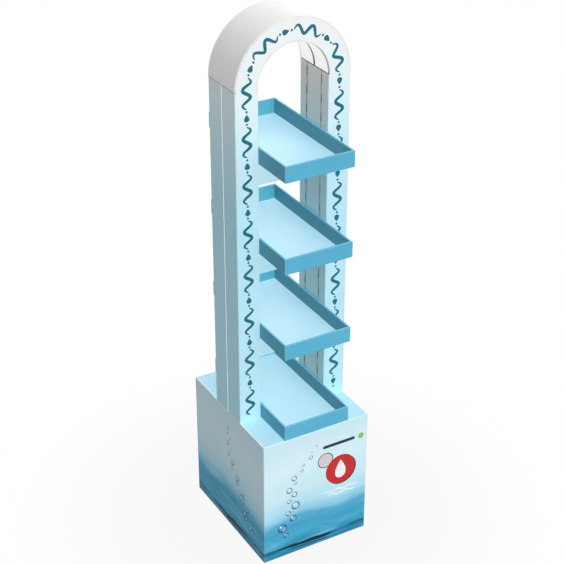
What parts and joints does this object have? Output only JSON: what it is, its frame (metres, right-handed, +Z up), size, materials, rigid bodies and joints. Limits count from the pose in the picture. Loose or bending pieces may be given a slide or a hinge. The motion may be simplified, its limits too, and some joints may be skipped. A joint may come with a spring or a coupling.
{
  "type": "cardboard display stand",
  "caption": "Free-standing floor display of folded corrugated board: a box base, a hollow arch with a round top, and shallow trays between its legs.",
  "frame": {"origin": "middle of the footprint, on the floor", "axes": "+Z up, front towards -Y, +X to the right seen from the front"},
  "size_m": [0.4, 0.484, 1.84],
  "materials": {
    "base_print": "printed corrugated board, pale blue running to deep blue at the foot, satin",
    "arch_print": "printed corrugated board, pale blue running to white at the top, satin",
    "post_print": "printed corrugated board, pale grey blue, satin",
    "white_board": "white-lined corrugated board, matt",
    "plain_board": "brown kraft-lined corrugated board, matt",
    "tray_print": "printed thin corrugated board, teal blue, satin",
    "liner_print": "printed thin corrugated board, pale blue, satin"
  },
  "bodies": {
    "root": {"base_box": "base_print", "base_divider_cross": "plain_board", "base_divider_left": "plain_board", "base_divider_right": "plain_board", "arch_front": "arch_print", "arch_rear": "arch_print", "arch_mid_rib": "plain_board", "arch_top_band": "white_board", "soffit_front": "white_board", "soffit_rear": "white_board", "left_post": "post_print", "right_post": "post_print", "tray_1": "tray_print", "tray_1_liner": "liner_print", "tray_2": "tray_print", "tray_2_liner": "liner_print", "tray_3": "tray_print", "tray_3_liner": "liner_print", "tray_4": "tray_print", "tray_4_liner": "liner_print"}
  },
  "joints": []
}
